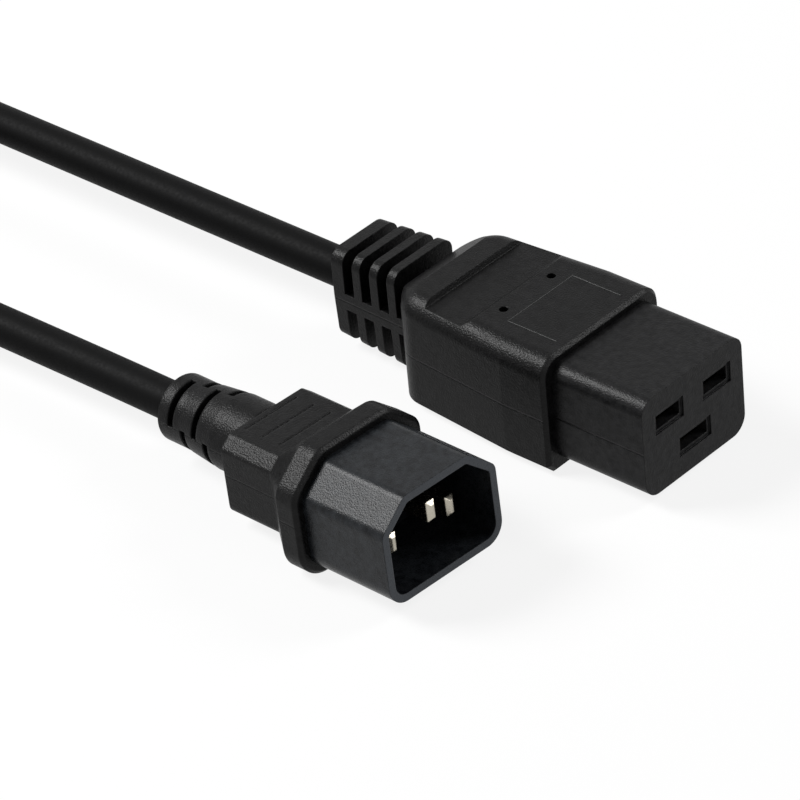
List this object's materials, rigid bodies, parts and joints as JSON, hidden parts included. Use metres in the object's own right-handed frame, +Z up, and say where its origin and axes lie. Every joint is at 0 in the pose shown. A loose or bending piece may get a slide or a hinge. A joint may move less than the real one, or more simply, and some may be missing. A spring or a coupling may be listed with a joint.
{
  "type": "power extension cord",
  "caption": "Short black extension cord: moulded socket with a finned strain relief and a moulded plug with a shroud round its blades, joined by a round coiled cord.",
  "frame": {"origin": "on the surface that the cord lies on, under the middle of the socket's length and width", "axes": "+X out of the socket's mating face, +Z up, the plug lies beside the socket on the -Y side"},
  "size_m": [0.2873, 0.1217, 0.0241],
  "materials": {
    "overmould": "fine spark-eroded grain",
    "insert": "matte",
    "inner_mould": "plain",
    "jacket": "semi-gloss",
    "tie": "matte",
    "core_brown": "smooth",
    "core_blue": "smooth",
    "core_green": "smooth",
    "copper": "bare stranded copper",
    "contact": "plain",
    "pin": "nickel plated"
  },
  "bodies": {
    "root": {"coil_tie": "tie", "cord_coil": "jacket", "cord_plug_lead": "jacket", "cord_socket_lead": "jacket", "plug_conductor_earth": "copper", "plug_conductor_line": "copper", "plug_conductor_neutral": "copper", "plug_core_earth": "core_green", "plug_core_line": "core_brown", "plug_core_neutral": "core_blue", "plug_inner_mould": "inner_mould", "plug_insert": "insert", "plug_overmould": "overmould", "plug_pin_earth": "pin", "plug_pin_line": "pin", "plug_pin_neutral": "pin", "socket_conductor_earth": "copper", "socket_conductor_line": "copper", "socket_conductor_neutral": "copper", "socket_contact_earth": "contact", "socket_contact_line": "contact", "socket_contact_neutral": "contact", "socket_core_earth": "core_green", "socket_core_line": "core_brown", "socket_core_neutral": "core_blue", "socket_inner_mould": "inner_mould", "socket_insert": "insert", "socket_overmould": "overmould"}
  },
  "joints": []
}
